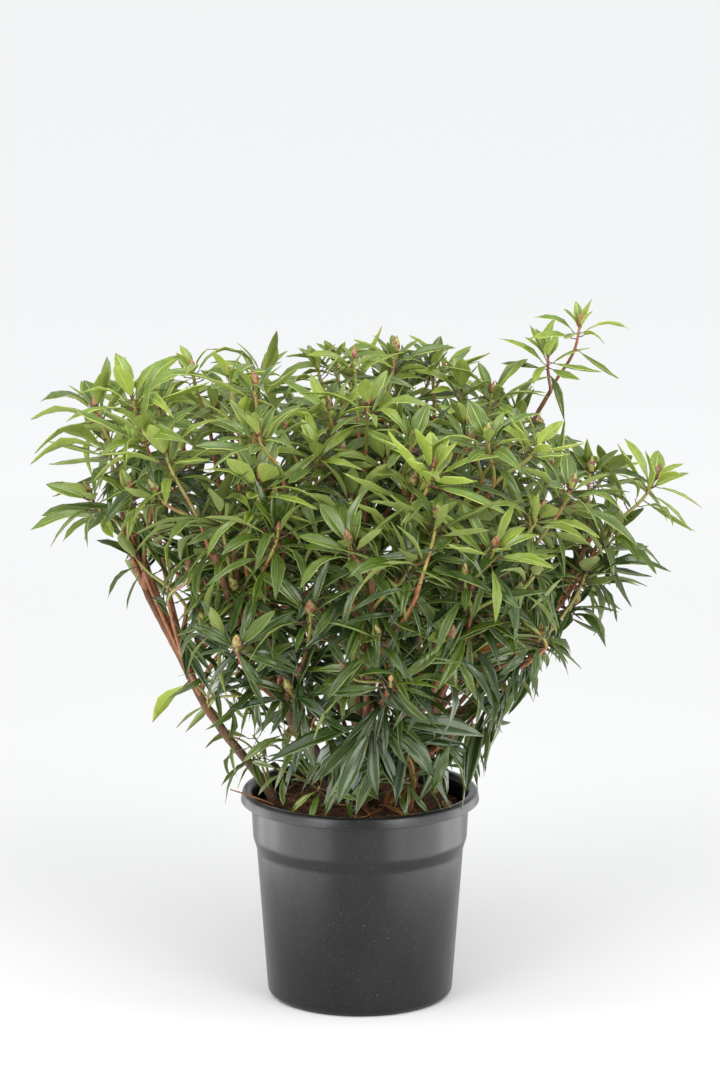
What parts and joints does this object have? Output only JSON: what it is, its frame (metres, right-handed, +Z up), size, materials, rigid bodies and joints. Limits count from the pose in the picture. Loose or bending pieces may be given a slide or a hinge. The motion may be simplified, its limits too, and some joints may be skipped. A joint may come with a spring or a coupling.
{
  "type": "potted rhododendron",
  "caption": "Narrow-leaved evergreen rhododendron with a wide vase-shaped crown and one tall shoot, standing in a round black plastic nursery pot.",
  "frame": {"origin": "centre of the flat underside of the pot, on the surface it stands on", "axes": "+Z up along the pot's axis, -Y to the front of the plant, +X to the right as seen from the front, where the tall shoot and the long right arm are"},
  "size_m": [1.0068, 0.9152, 1.0196],
  "materials": {
    "black_plastic": "semi-gloss injection-moulded plastic, dusty",
    "potting_soil": "moist peat and bark, matt",
    "brown_bark": "thin flaking bark, matt",
    "green_foliage": "leathery evergreen leaves, satin"
  },
  "bodies": {
    "root": {"bough_heart_left": "brown_bark", "bough_heart_right": "brown_bark", "bough_leader": "brown_bark", "bough_skirt_back": "brown_bark", "bough_skirt_back_left": "brown_bark", "bough_skirt_back_right": "brown_bark", "bough_skirt_front": "brown_bark", "bough_skirt_front_left": "brown_bark", "bough_skirt_front_right": "brown_bark", "bough_skirt_left": "brown_bark", "bough_skirt_right": "brown_bark", "bough_top_back": "brown_bark", "bough_top_back_left": "brown_bark", "bough_top_back_right": "brown_bark", "bough_top_front": "brown_bark", "bough_top_front_left": "brown_bark", "bough_top_front_right": "brown_bark", "foliage_heart_left": "green_foliage", "foliage_heart_right": "green_foliage", "foliage_leader": "green_foliage", "foliage_low_back": "green_foliage", "foliage_low_front": "green_foliage", "foliage_low_front_right": "green_foliage", "foliage_low_right": "green_foliage", "foliage_shoulder_back": "green_foliage", "foliage_shoulder_back_left": "green_foliage", "foliage_shoulder_back_right": "green_foliage", "foliage_shoulder_front": "green_foliage", "foliage_shoulder_front_left": "green_foliage", "foliage_shoulder_front_right": "green_foliage", "foliage_shoulder_left": "green_foliage", "foliage_shoulder_right": "green_foliage", "foliage_skirt_back": "green_foliage", "foliage_skirt_back_left": "green_foliage", "foliage_skirt_back_right": "green_foliage", "foliage_skirt_front": "green_foliage", "foliage_skirt_front_left": "green_foliage", "foliage_skirt_front_right": "green_foliage", "foliage_skirt_left": "green_foliage", "foliage_skirt_right": "green_foliage", "foliage_top_back": "green_foliage", "foliage_top_back_left": "green_foliage", "foliage_top_back_right": "green_foliage", "foliage_top_front": "green_foliage", "foliage_top_front_left": "green_foliage", "foliage_top_front_right": "green_foliage", "pot": "black_plastic", "root_ball": "potting_soil", "stem_back": "brown_bark", "stem_back_left": "brown_bark", "stem_back_right": "brown_bark", "stem_front": "brown_bark", "stem_front_left": "brown_bark", "stem_front_right": "brown_bark", "stem_left": "brown_bark", "stem_right": "brown_bark"}
  },
  "joints": []
}
